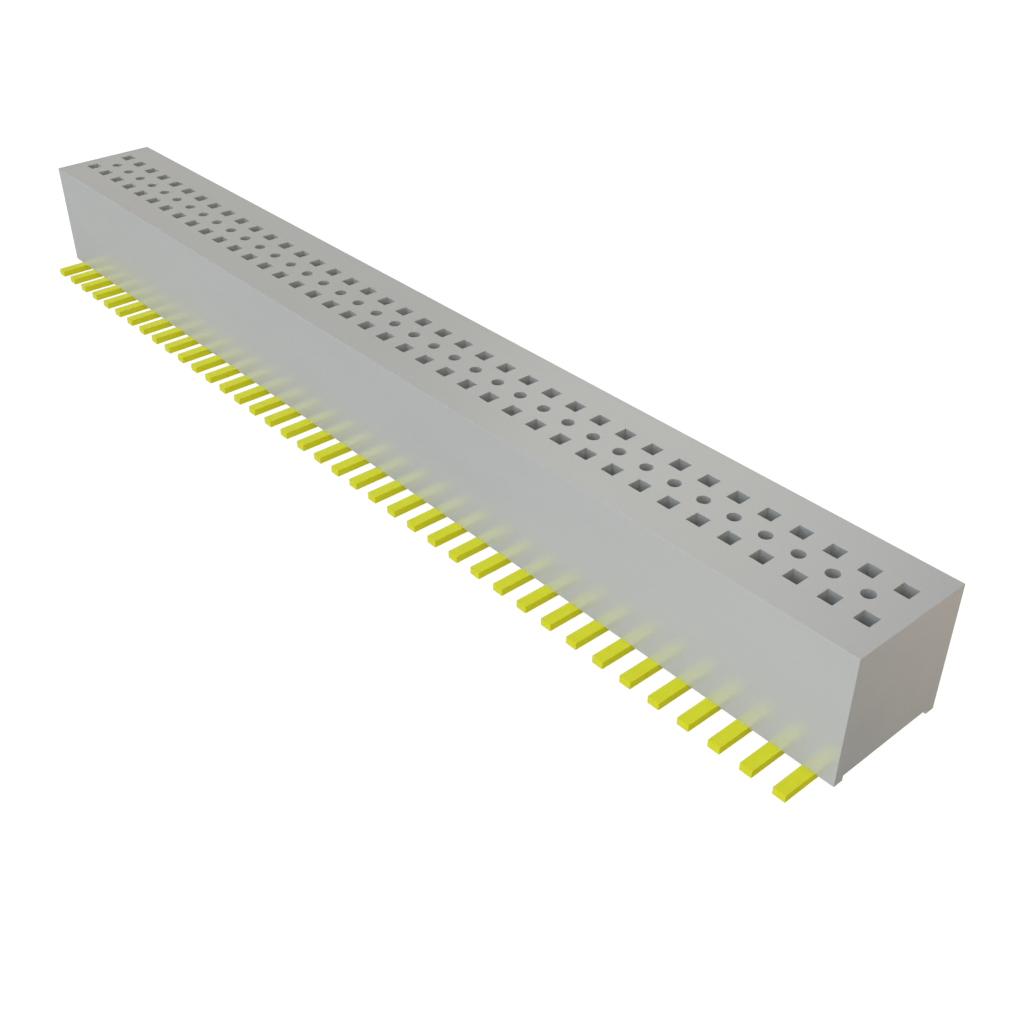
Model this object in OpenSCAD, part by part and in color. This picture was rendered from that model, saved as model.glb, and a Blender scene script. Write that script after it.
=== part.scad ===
// Surface-mount socket strip: a moulded housing with two rows of square pin
// sockets, and in each socket a blanked fork contact whose solder tail runs
// out flat under the long side of the housing.
//
// Frame: X along the strip, Y across it, Z up. The origin is under the middle
// of the strip, and z = 0 is the board that the solder tails stand on.
// All sizes are in millimetres.

/* [Grid] */
// Sockets in each row
positions = 39; // [2:1:50]
// Distance between neighbouring sockets along the strip
pitch = 0.80; // [0.76:0.01:1.00]
// Distance between the two rows of sockets
row_space = 1.20; // [1.14:0.01:1.40]

/* [Housing] */
// Length beyond the socket cells, both ends together
end_extra = 0.38; // [0.20:0.02:1.00]
// Width across the two long sides
body_w = 3.17; // [3.05:0.01:3.60]
// Height from the mating face to the bottom of the ribs
body_h = 3.13; // [2.95:0.01:3.60]
// Radius of the outer moulded edges
edge_r = 0.015; // [0.01:0.005:0.06]
// Width of the rib under each long side
rib_w = 0.25; // [0.15:0.01:0.40]
// Height of the rib under each long side
rib_h = 0.13; // [0.13:0.01:0.20]

/* [Sockets] */
// Side of each square pin hole
socket = 0.35; // [0.34:0.005:0.40]
// Diameter of the round coring holes between the sockets
core_d = 0.30; // [0.20:0.01:0.36]
// Depth of the round coring holes
core_depth = 1.90; // [0.50:0.05:2.30]
// Thickness of the housing's top wall above the contact slots
roof = 0.52; // [0.45:0.01:0.60]

/* [Contacts] */
// Stock thickness, which is the width of a tail seen from above
stock = 0.305; // [0.20:0.005:0.33]
// Height of a solder tail, which is also the housing's stand-off
tail_t = 0.185; // [0.15:0.005:0.22]
// Distance from tail tip to tail tip across the strip
tail_span = 4.84; // [4.20:0.02:5.60]
// Gap between the two contact points of a fork with no pin in it
fork_gap = 0.22; // [0.16:0.01:0.28]

/* [Hidden] */
$fn = 48;

// Housing
body_l = positions * pitch + end_extra;
z_rib = tail_t;
z_floor = z_rib + rib_h;
z_top = z_rib + body_h;
z_roof = z_top - roof;
z_well = 1.02;

// Contact slot: clearance to the blade in X, and half widths across the strip
slot_clear = 0.015;
slot_x = stock + slot_clear;
slot_u = 0.42;

// Contact blade, u counted outwards from the pin's axis
base_u = 0.41;
base_z0 = z_floor + 0.065;
base_z1 = base_z0 + 0.78;
leg_u0 = 0.06;
heel_r = 0.09;
fillet_r = 0.12;
barb_u = 0.44;
barb_h = 0.10;
barb_z = [base_z0 + 0.28, base_z0 + 0.52];
tine_u0 = 0.17;
tine_u1 = 0.36;
tip_u0 = 0.22;
tip_u1 = 0.335;
tip_z = z_roof - 0.06;
touch_z = tip_z - 0.38;
touch_r = 0.16;
crotch_z = base_z1 + 0.22;
tail_u = tail_span / 2 - row_space / 2;

function pos_x(i) = (i - (positions + 1) / 2) * pitch;
function pair_name(i) = str("contact_pair_", i < 10 ? "0" : "", i);

// A rectangle with round corners, centred
module rounded_rect(w, h, r) {
  square([w - 2 * r, h], center = true);
  square([w, h - 2 * r], center = true);
  for (a = [-1, 1], b = [-1, 1])
    translate([a * (w / 2 - r), b * (h / 2 - r)]) circle(r);
}

// Turns a profile drawn as (y, z) into a plate of thickness t, centred on x = 0
module plate(t) {
  rotate([90, 0, 90]) linear_extrude(height = t, center = true) children();
}

// The teeth that hold a contact in its slot, or the notches they press into
module barbs() {
  for (z = barb_z, a = [-1, 1])
    polygon([[a * (base_u - 0.05), z], [a * barb_u, z],
             [a * base_u, z + barb_h], [a * (base_u - 0.05), z + barb_h]]);
}

// One side of the fork: a tapered beam with a rounded contact point and a
// flared tip
module tine() {
  polygon([[tine_u0, base_z1 - 0.05], [tine_u1, base_z1 - 0.05],
           [tine_u1, base_z1 + 0.40], [tip_u1, tip_z], [tip_u0, tip_z],
           [tine_u0, touch_z + 0.10]]);
  intersection() {
    translate([fork_gap / 2 + touch_r, touch_z]) circle(touch_r);
    translate([0, touch_z - 0.20]) square([tine_u0 + 0.06, 0.40]);
  }
}

// The blanked outline of one contact: solder tail, leg, base and fork
module contact_outline() {
  difference() {
    union() {
      square_from(leg_u0, 0, tail_u, tail_t);
      square_from(leg_u0, 0, base_u, base_z0 + 0.10);
      square_from(base_u - 0.02, tail_t - 0.02, base_u + fillet_r, tail_t + fillet_r);
    }
    translate([base_u + fillet_r, tail_t + fillet_r]) circle(fillet_r);
    difference() {
      square_from(leg_u0 - 0.05, -0.05, leg_u0 + heel_r, heel_r);
      translate([leg_u0 + heel_r, heel_r]) circle(heel_r);
      square_from(leg_u0 + heel_r - 0.001, heel_r - 0.001, leg_u0 + 0.3, 0.3);
    }
  }
  difference() {
    square_from(-base_u, base_z0, base_u, base_z1);
    translate([0, crotch_z]) circle(tine_u0);
  }
  difference() {
    square_from(-tine_u1, base_z1 - 0.05, tine_u1, crotch_z);
    translate([0, crotch_z]) circle(tine_u0);
  }
  barbs();
  tine();
  mirror([1, 0]) tine();
}

// A rectangle given by two opposite corners
module square_from(x0, y0, x1, y1) {
  translate([x0, y0]) square([x1 - x0, y1 - y0]);
}

// The opening for one contact: the square pin hole from above, and the slot
// that the contact was pressed into from below
module cavity() {
  translate([-socket / 2, -socket / 2, z_well])
    cube([socket, socket, z_top - z_well + 1]);
  plate(slot_x) {
    square_from(-slot_u, z_floor - 0.05, slot_u, z_roof);
    barbs();
  }
}

// The solid block before anything is cut from it
module block() {
  intersection() {
    translate([0, 0, z_rib])
      linear_extrude(height = body_h) rounded_rect(body_l, body_w, edge_r);
    translate([0, 0, z_top / 2 - 0.5])
      rotate([90, 0, 90]) linear_extrude(height = body_l + 1, center = true)
        rounded_rect(body_w, z_top + 1, edge_r);
    translate([0, 0, z_top / 2 - 0.5])
      rotate([90, 0, 0]) linear_extrude(height = body_w + 1, center = true)
        rounded_rect(body_l, z_top + 1, edge_r);
  }
}

// Moulded housing: ribs under the long sides, open underside between them, a
// socket for each contact, and a coring hole between each four sockets
module housing() {
  color([0.70, 0.71, 0.70])
    difference() {
      block();
      translate([-body_l / 2 - 1, -body_w / 2 + rib_w, z_rib - 1])
        cube([body_l + 2, body_w - 2 * rib_w, 1 + rib_h]);
      for (i = [1 : positions], s = [-1, 1])
        translate([pos_x(i), s * row_space / 2, 0]) cavity();
      for (i = [1 : positions - 1])
        translate([pos_x(i) + pitch / 2, 0, z_top - core_depth])
          cylinder(d = core_d, h = core_depth + 1);
    }
}

// The front and the rear contact of one column: two separate pieces
module contact_pair(i) {
  color([0.81, 0.82, 0.20])
    translate([pos_x(i), 0, 0]) {
      translate([0, row_space / 2, 0]) plate(stock) contact_outline();
      translate([0, -row_space / 2, 0]) mirror([0, 1, 0]) plate(stock) contact_outline();
    }
}

housing();
for (i = [1 : positions])
  contact_pair(i);
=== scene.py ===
import math

import bmesh
import bpy
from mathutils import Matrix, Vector


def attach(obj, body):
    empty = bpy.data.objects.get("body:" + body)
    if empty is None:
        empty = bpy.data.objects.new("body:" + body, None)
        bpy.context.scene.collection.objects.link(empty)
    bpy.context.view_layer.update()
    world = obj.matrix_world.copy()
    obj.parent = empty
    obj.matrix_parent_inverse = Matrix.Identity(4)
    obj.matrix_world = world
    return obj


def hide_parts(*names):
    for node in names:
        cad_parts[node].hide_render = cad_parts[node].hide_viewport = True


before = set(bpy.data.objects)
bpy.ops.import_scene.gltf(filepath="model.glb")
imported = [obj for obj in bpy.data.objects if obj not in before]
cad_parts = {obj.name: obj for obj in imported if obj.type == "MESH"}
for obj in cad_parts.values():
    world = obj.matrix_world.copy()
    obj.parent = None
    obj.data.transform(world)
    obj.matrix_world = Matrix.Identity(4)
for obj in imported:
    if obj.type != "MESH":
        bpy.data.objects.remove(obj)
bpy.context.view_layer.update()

MM = 0.001

# ---------------------------------------------------------------- dimensions
# The strip's own sizes in millimetres, the same as in the CAD source.
POSITIONS = 39
PITCH = 0.80
ROW = 1.20
BODY_L = POSITIONS * PITCH + 0.38
BODY_W = 3.17
RIB_W = 0.25
SOCKET = 0.35
CORE_R = 0.15
CORE_DEPTH = 1.90
STOCK = 0.305
TAIL_T = 0.185
TAIL_SPAN = 4.84
FORK_GAP = 0.22

Z_RIB = TAIL_T
Z_FLOOR = Z_RIB + 0.13
Z_TOP = Z_RIB + 3.13
Z_ROOF = Z_TOP - 0.52
Z_WELL = 1.02
SLOT_X = STOCK + 0.015
SLOT_U = 0.42
NOTCH_U = 0.443
NOTCH_Z = [(Z_FLOOR + z, Z_FLOOR + z + 0.073) for z in (0.342, 0.582)]

HALF_L, HALF_W = BODY_L / 2, BODY_W / 2
NEAR = 1e-5


def pos_x(i):
    return (i - (POSITIONS + 1) / 2) * PITCH


def same(a, b):
    return abs(a - b) < NEAR


def bevel(bm, edges, offset, segments):
    made = bmesh.ops.bevel(bm, geom=edges, offset=offset, offset_type="OFFSET", segments=segments, profile=0.5, affect="EDGES", clamp_overlap=True)
    for f in made["faces"]:
        f.smooth = False


def new_piece(name, bm, material):
    """Turns a bmesh in millimetres into a piece in metres that rides on the strip."""
    bmesh.ops.recalc_face_normals(bm, faces=bm.faces)
    for e in bm.edges:
        e.smooth = e.calc_face_angle(math.pi) < math.radians(50)
    bmesh.ops.scale(bm, vec=(MM, MM, MM), verts=bm.verts)
    mesh = bpy.data.meshes.new(name)
    bm.to_mesh(mesh)
    bm.free()
    mesh.materials.append(material)
    obj = bpy.data.objects.new(name, mesh)
    bpy.context.scene.collection.objects.link(obj)
    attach(obj, "root")
    return obj


# ---------------------------------------------------------------- materials
class Nodes:
    """Small helper for building a node tree."""

    def __init__(self, tree):
        self.tree = tree
        tree.nodes.clear()

    def add(self, kind, **values):
        n = self.tree.nodes.new(kind)
        for k, v in values.items():
            setattr(n, k, v)
        return n

    def link(self, a, b):
        self.tree.links.new(a, b)


def noise(n, coords, scale, detail, rough):
    t = n.add("ShaderNodeTexNoise")
    t.inputs["Scale"].default_value = scale
    t.inputs["Detail"].default_value = detail
    t.inputs["Roughness"].default_value = rough
    n.link(coords, t.inputs["Vector"])
    return t.outputs["Fac"]


def ramp(n, fac, low, high, at=(0.3, 0.7)):
    r = n.add("ShaderNodeValToRGB")
    r.color_ramp.elements[0].position = at[0]
    r.color_ramp.elements[1].position = at[1]
    r.color_ramp.elements[0].color = (*low, 1)
    r.color_ramp.elements[1].color = (*high, 1)
    n.link(fac, r.inputs["Fac"])
    return r.outputs["Color"]


def spread(n, fac, low, high):
    m = n.add("ShaderNodeMapRange")
    m.inputs["From Min"].default_value = 0.25
    m.inputs["From Max"].default_value = 0.75
    m.inputs["To Min"].default_value = low
    m.inputs["To Max"].default_value = high
    n.link(fac, m.inputs["Value"])
    return m.outputs["Result"]


def moulded_plastic():
    """Light grey filled moulding compound: satin, with a very fine eroded-mould grain and faint flow clouding."""
    m = bpy.data.materials.new("moulded_plastic")
    m.use_nodes = True
    n = Nodes(m.node_tree)
    out = n.add("ShaderNodeOutputMaterial")
    b = n.add("ShaderNodeBsdfPrincipled")
    n.link(b.outputs["BSDF"], out.inputs["Surface"])
    place = n.add("ShaderNodeTexCoord").outputs["Object"]
    flow = n.add("ShaderNodeMapping")
    flow.inputs["Scale"].default_value = (0.25, 1.0, 1.0)
    n.link(place, flow.inputs["Vector"])
    cloud = noise(n, flow.outputs["Vector"], 900, 4, 0.55)
    speck = noise(n, place, 16000, 2, 0.6)
    both = n.add("ShaderNodeMix", data_type="FLOAT")
    both.inputs["Factor"].default_value = 0.4
    n.link(cloud, both.inputs["A"])
    n.link(speck, both.inputs["B"])
    n.link(ramp(n, both.outputs["Result"], (0.328, 0.332, 0.327), (0.350, 0.354, 0.348)), b.inputs["Base Color"])
    n.link(spread(n, cloud, 0.245, 0.268), b.inputs["Roughness"])
    b.inputs["IOR"].default_value = 2.7
    grain = noise(n, place, 42000, 2, 0.5)
    bump = n.add("ShaderNodeBump")
    bump.inputs["Strength"].default_value = 0.12
    bump.inputs["Distance"].default_value = 2e-6
    n.link(grain, bump.inputs["Height"])
    n.link(bump.outputs["Normal"], b.inputs["Normal"])
    return m


def plated_metal():
    """Bright yellow plated copper alloy, blanked from strip: satin, with faint rolling lines along the tail."""
    m = bpy.data.materials.new("plated_metal")
    m.use_nodes = True
    n = Nodes(m.node_tree)
    out = n.add("ShaderNodeOutputMaterial")
    b = n.add("ShaderNodeBsdfPrincipled")
    n.link(b.outputs["BSDF"], out.inputs["Surface"])
    place = n.add("ShaderNodeTexCoord").outputs["Object"]
    along = n.add("ShaderNodeMapping")
    along.inputs["Scale"].default_value = (1.0, 0.06, 0.06)
    n.link(place, along.inputs["Vector"])
    lines = noise(n, along.outputs["Vector"], 30000, 3, 0.6)
    cloud = noise(n, place, 2500, 3, 0.5)
    n.link(ramp(n, cloud, (0.596, 0.591, 0.0015), (0.624, 0.619, 0.003)), b.inputs["Base Color"])
    b.inputs["Metallic"].default_value = 0.25
    n.link(spread(n, lines, 0.39, 0.43), b.inputs["Roughness"])
    bump = n.add("ShaderNodeBump")
    bump.inputs["Strength"].default_value = 0.04
    bump.inputs["Distance"].default_value = 2e-6
    n.link(lines, bump.inputs["Height"])
    n.link(bump.outputs["Normal"], b.inputs["Normal"])
    return m


# ---------------------------------------------------------------- housing
def housing_mesh():
    """The moulded body as one closed mesh: a grid of cells, solid or open, with the round coring holes set into it."""
    s, hx = SOCKET / 2, SLOT_X / 2
    xs = [-HALF_L]
    for i in range(1, POSITIONS + 1):
        xs += [pos_x(i) + d for d in (-PITCH / 4, -s, -hx, hx, s, PITCH / 4)]
    xs.append(HALF_L)
    half = [ROW / 2 - NOTCH_U, ROW / 2 - SLOT_U, ROW / 2 - s, ROW / 2 + s, ROW / 2 + SLOT_U, ROW / 2 + NOTCH_U, HALF_W - RIB_W, HALF_W]
    ys = [-y for y in reversed(half)] + half
    zs = sorted([Z_RIB, Z_FLOOR, Z_WELL, Z_ROOF, Z_TOP, *(z for pair in NOTCH_Z for z in pair)])
    mid = len(half) - 1  # the row of cells on the strip's middle line

    def solid(ix, iy, iz):
        if not (0 <= ix < len(xs) - 1 and 0 <= iy < len(ys) - 1 and 0 <= iz < len(zs) - 1):
            return False
        x, y, z = ((a[k] + a[k + 1]) / 2 for a, k in ((xs, ix), (ys, iy), (zs, iz)))
        if z < Z_FLOOR and abs(y) < HALF_W - RIB_W:
            return False
        i = round(x / PITCH + (POSITIONS + 1) / 2)
        if 1 <= i <= POSITIONS:
            dx, dy = abs(x - pos_x(i)), abs(abs(y) - ROW / 2)
            if dx < s and dy < s and z > Z_WELL:
                return False
            if dx < hx and dy < SLOT_U and z < Z_ROOF:
                return False
            if dx < hx and dy < NOTCH_U and any(a < z < b for a, b in NOTCH_Z):
                return False
        return True

    def cored(ix, iy):
        wide = xs[ix + 1] - xs[ix]
        return iy == mid and same(wide, PITCH / 2) and 0 < ix < len(xs) - 2 and same(xs[ix] - PITCH / 4, pos_x(round(xs[ix] / PITCH - 0.25 + (POSITIONS + 1) / 2)))

    bm = bmesh.new()
    made = {}

    def vert(ix, iy, iz):
        key = (ix, iy, iz)
        if key not in made:
            made[key] = bm.verts.new((xs[ix], ys[iy], zs[iz]))
        return made[key]

    corners = {
        (1, 0, 0): ((1, 0, 0), (1, 1, 0), (1, 1, 1), (1, 0, 1)),
        (-1, 0, 0): ((0, 0, 0), (0, 0, 1), (0, 1, 1), (0, 1, 0)),
        (0, 1, 0): ((0, 1, 0), (0, 1, 1), (1, 1, 1), (1, 1, 0)),
        (0, -1, 0): ((0, 0, 0), (1, 0, 0), (1, 0, 1), (0, 0, 1)),
        (0, 0, 1): ((0, 0, 1), (1, 0, 1), (1, 1, 1), (0, 1, 1)),
        (0, 0, -1): ((0, 0, 0), (0, 1, 0), (1, 1, 0), (1, 0, 0)),
    }
    turns = 40
    for ix in range(len(xs) - 1):
        for iy in range(len(ys) - 1):
            for iz in range(len(zs) - 1):
                if not solid(ix, iy, iz):
                    continue
                for way, four in corners.items():
                    if solid(ix + way[0], iy + way[1], iz + way[2]):
                        continue
                    if way == (0, 0, 1) and iz == len(zs) - 2 and cored(ix, iy):
                        cx = (xs[ix] + xs[ix + 1]) / 2
                        rings = []
                        for z in (Z_TOP, Z_TOP - CORE_DEPTH):
                            rings.append([bm.verts.new((cx + CORE_R * math.cos(a), CORE_R * math.sin(a), z)) for a in (math.radians(225) + 2 * math.pi * k / turns for k in range(turns))])
                        square = [vert(ix + c[0], iy + c[1], iz + c[2]) for c in four]
                        q = turns // 4
                        for k in range(4):
                            arc = [rings[0][(k * q + j) % turns] for j in range(q + 1)]
                            bm.faces.new([square[k], square[(k + 1) % 4], *reversed(arc)])
                        for k in range(turns):
                            j = (k + 1) % turns
                            bm.faces.new([rings[0][k], rings[0][j], rings[1][j], rings[1][k]]).smooth = True
                        bm.faces.new(rings[1])
                        continue
                    bm.faces.new([vert(ix + c[0], iy + c[1], iz + c[2]) for c in four])
    bm.normal_update()

    def rim(e):
        return len(e.link_faces) == 2 and e.link_faces[0].normal.angle(e.link_faces[1].normal) > 0.6

    def round_over(test, offset, segments):
        bm.normal_update()
        bevel(bm, [e for e in bm.edges if rim(e) and test(e.verts[0].co, e.verts[1].co)], offset, segments)

    def on_edge(p):
        return same(abs(p.x), HALF_L) or same(abs(p.y), HALF_W)

    def mouth(p, q):
        return same(p.z, Z_TOP) and same(q.z, Z_TOP) and not (on_edge(p) and on_edge(q))

    def outside(p, q):
        top = same(p.z, Z_TOP) and same(q.z, Z_TOP) and on_edge(p) and on_edge(q)
        upright = all(same(abs(v.x), HALF_L) and same(abs(v.y), HALF_W) for v in (p, q))
        return top or upright

    def foot(p, q):
        if same(p.z, Z_RIB) and same(q.z, Z_RIB):
            return True
        return same(p.z, Z_FLOOR) and same(q.z, Z_FLOOR) and same(abs(p.x), HALF_L) and same(abs(q.x), HALF_L)

    # The mould is spark-eroded to a near sharp edge.
    round_over(mouth, 0.004, 2)
    round_over(lambda p, q: outside(p, q) or foot(p, q), 0.003, 2)
    return bm


# ---------------------------------------------------------------- contacts
def arc(cx, cz, r, start, end, steps):
    return [(cx + r * math.cos(math.radians(start + (end - start) * k / steps)), cz + r * math.sin(math.radians(start + (end - start) * k / steps))) for k in range(steps + 1)]


def contact_outline():
    """The blanked outline as (u, z), u counted outwards from the pin's axis, anticlockwise from the toe."""
    base_u, base_z0, base_z1 = 0.41, Z_FLOOR + 0.065, Z_FLOOR + 0.845
    leg_u0, heel_r, fillet_r = 0.06, 0.09, 0.12
    tail_u = TAIL_SPAN / 2 - ROW / 2
    tip_z = Z_ROOF - 0.06
    touch_z, touch_r = tip_z - 0.38, 0.16
    centre = FORK_GAP / 2 + touch_r
    crotch = base_z1 + 0.22
    down = math.degrees(math.asin(math.sqrt(touch_r**2 - (centre - 0.17) ** 2) / touch_r))
    up = 53.6
    side = [(base_u, base_z0 + 0.28), (0.44, base_z0 + 0.28), (base_u, base_z0 + 0.38), (base_u, base_z0 + 0.52), (0.44, base_z0 + 0.52), (base_u, base_z0 + 0.62), (base_u, base_z1), (0.36, base_z1), (0.36, base_z1 + 0.40), (0.335, tip_z), (0.22, tip_z)]
    inner = arc(centre, touch_z, touch_r, 180 - up, 180 + down, 12)
    half = side + inner + [(0.17, crotch + 0.001)]
    points = [(tail_u, 0.0), (tail_u, TAIL_T)]
    points += arc(base_u + fillet_r, TAIL_T + fillet_r, fillet_r, 270, 180, 8)
    points += half
    points += arc(0, crotch, 0.17, 0, -180, 16)
    points += [(-u, z) for u, z in reversed(half)]
    points += [(-base_u, base_z0), (leg_u0, base_z0)]
    points += arc(leg_u0 + heel_r, heel_r, heel_r, 180, 270, 8)
    return points


def contact_mesh(x, side):
    """One contact as a closed mesh. The blank's die-roll side is rounder than its burr side."""
    bm = bmesh.new()
    points = contact_outline()
    faces = []
    for dx in (STOCK / 2, -STOCK / 2):
        faces.append([bm.verts.new((x + dx, side * (ROW / 2 + u), z)) for u, z in points])
    count = len(points)
    runs = [Vector(points[(k + 1) % count]) - Vector(points[k]) for k in range(count)]
    bends = [abs(runs[k - 1].angle_signed(runs[k])) for k in range(count)]
    bm.faces.new(faces[0])
    bm.faces.new(list(reversed(faces[1])))
    for k in range(count):
        j = (k + 1) % count
        f = bm.faces.new([faces[0][j], faces[0][k], faces[1][k], faces[1][j]])
        f.smooth = max(bends[k], bends[j]) < math.radians(20)  # on an arc
    bmesh.ops.recalc_face_normals(bm, faces=bm.faces)
    bm.normal_update()
    for dx, size in ((STOCK / 2, 0.008), (-STOCK / 2, 0.005)):
        bevel(bm, [e for e in bm.edges if all(same(v.co.x, x + dx) for v in e.verts)], size, 2)
    return bm


plastic = moulded_plastic()
metal = plated_metal()

housing = new_piece("moulded_housing", housing_mesh(), plastic)
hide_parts("housing")
for i in range(1, POSITIONS + 1):
    for side, word in ((-1, "front"), (1, "rear")):
        c = new_piece("%s_contact_%02d" % (word, i), contact_mesh(pos_x(i), side), metal)
        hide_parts("contact_pair_%02d" % i)

# The CAD nodes keep the same finishes underneath.
for name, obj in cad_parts.items():
    obj.data.materials.clear()
    obj.data.materials.append(plastic if name == "housing" else metal)


# ---------------------------------------------------------------- stage
def floor_material():
    """A pale light table: mostly lit from within, so that only a faint soft shadow is left."""
    m = bpy.data.materials.new("light_table")
    m.use_nodes = True
    n = Nodes(m.node_tree)
    out = n.add("ShaderNodeOutputMaterial")
    b = n.add("ShaderNodeBsdfPrincipled")
    b.inputs["Base Color"].default_value = (0.12, 0.12, 0.12, 1)
    b.inputs["Roughness"].default_value = 0.9
    b.inputs["Specular IOR Level"].default_value = 0.0
    b.inputs["Emission Color"].default_value = (1, 1, 1, 1)
    b.inputs["Emission Strength"].default_value = 0.93
    n.link(b.outputs["BSDF"], out.inputs["Surface"])
    return m


bm = bmesh.new()
bmesh.ops.create_grid(bm, x_segments=8, y_segments=8, size=3.0)
floor_mesh = bpy.data.meshes.new("floor")
bm.to_mesh(floor_mesh)
bm.free()
floor_mesh.materials.append(floor_material())
floor = bpy.data.objects.new("floor", floor_mesh)
floor.visible_glossy = False
bpy.context.scene.collection.objects.link(floor)


# The studio: soft panels all round, each given by the direction it stands in, how far it reaches (cosines of its faded
# edge and of its full part) and its light. Behind the strip the camera sees plain white.
PANELS = {
    "front": ((0.0, -0.90, 0.45), 0.55, 0.95, (0.93, 1.09, 1.12)),
    "front_high": ((-0.20, -0.55, 0.80), 0.75, 0.98, (0.31, 0.415, 0.54)),
    "front_left": ((-0.62, -0.54, 0.57), 0.55, 0.95, (0.232, 0.256, 0.365)),
    "key": ((-0.583, -0.556, 0.592), 0.82, 0.97, (0.90, 0.94, 1.055)),
    "front_right": ((0.62, -0.54, 0.57), 0.55, 0.95, (0.81, 0.80, 0.715)),
    "right": ((0.93, -0.25, 0.20), 0.70, 0.96, (0.468, 0.377, 0.265)),
    "left": ((-0.90, 0.20, 0.38), 0.65, 0.97, (0.257, 0.224, 0.173)),
    "window": ((-0.512, 0.650, 0.5615), 0.975, 0.985, (0.525, 0.508, 0.468)),
    "back_right": ((0.35, 0.90, 0.28), 0.80, 0.97, (0.60, 0.58, 0.55)),
    "low_side": ((-0.70, -0.47, -0.53), 0.55, 0.90, (0.188, 0.187, 0.224)),
    "low_front": ((-0.40, -0.62, -0.67), 0.92, 0.995, (0.356, 0.322, 0.197)),
    "low_left": ((-0.88, -0.34, -0.33), 0.92, 0.995, (0.209, 0.178, 0.103)),
    "low_back": ((0.28, 0.90, -0.33), 0.86, 1.00, (0.595, 0.425, 0.310)),
    "dome": ((0.0, 0.0, 1.0), -0.10, 0.30, (0.319, 0.300, 0.281)),
}


def room(panels):
    world = bpy.data.worlds.new("room")
    world.use_nodes = True
    world.cycles.sampling_method = "NONE"  # the panels are wide and soft
    n = Nodes(world.node_tree)
    out = n.add("ShaderNodeOutputWorld")
    way = n.add("ShaderNodeTexCoord").outputs["Generated"]
    total = None
    for axis, edge, full, colour in panels.values():
        dot = n.add("ShaderNodeVectorMath", operation="DOT_PRODUCT")
        dot.inputs[1].default_value = Vector(axis).normalized()
        n.link(way, dot.inputs[0])
        fade = n.add("ShaderNodeMapRange", interpolation_type="SMOOTHSTEP")
        fade.inputs["From Min"].default_value = edge
        fade.inputs["From Max"].default_value = full
        n.link(dot.outputs["Value"], fade.inputs["Value"])
        light = n.add("ShaderNodeVectorMath", operation="SCALE")
        light.inputs[0].default_value = colour
        n.link(fade.outputs["Result"], light.inputs["Scale"])
        if total is None:
            total = light.outputs["Vector"]
        else:
            both = n.add("ShaderNodeVectorMath", operation="ADD")
            n.link(total, both.inputs[0])
            n.link(light.outputs["Vector"], both.inputs[1])
            total = both.outputs["Vector"]
    lit = n.add("ShaderNodeBackground")
    n.link(total, lit.inputs["Color"])
    plain = n.add("ShaderNodeBackground")
    plain.inputs["Color"].default_value = (1, 1, 1, 1)
    seen = n.add("ShaderNodeLightPath").outputs["Is Camera Ray"]
    pick = n.add("ShaderNodeMixShader")
    n.link(seen, pick.inputs["Fac"])
    n.link(lit.outputs["Background"], pick.inputs[1])
    n.link(plain.outputs["Background"], pick.inputs[2])
    n.link(pick.outputs["Shader"], out.inputs["Surface"])
    bpy.context.scene.world = world


room(PANELS)

bpy.context.scene.view_settings.view_transform = "Standard"
bpy.context.scene.view_settings.look = "None"

# ---------------------------------------------------------------- camera
lens = bpy.data.cameras.new("camera")
lens.sensor_fit = "HORIZONTAL"
lens.sensor_width = 36.0
lens.lens = 44.2685
lens.clip_start, lens.clip_end = 0.001, 20.0
camera = bpy.data.objects.new("camera", lens)
camera.location = (0.0240688, -0.0166085, 0.0176572)
camera.rotation_mode = "QUATERNION"
camera.rotation_quaternion = Vector((-0.61885912, 0.53643566, -0.57380325)).to_track_quat("-Z", "Y")
bpy.context.scene.collection.objects.link(camera)
bpy.context.scene.camera = camera
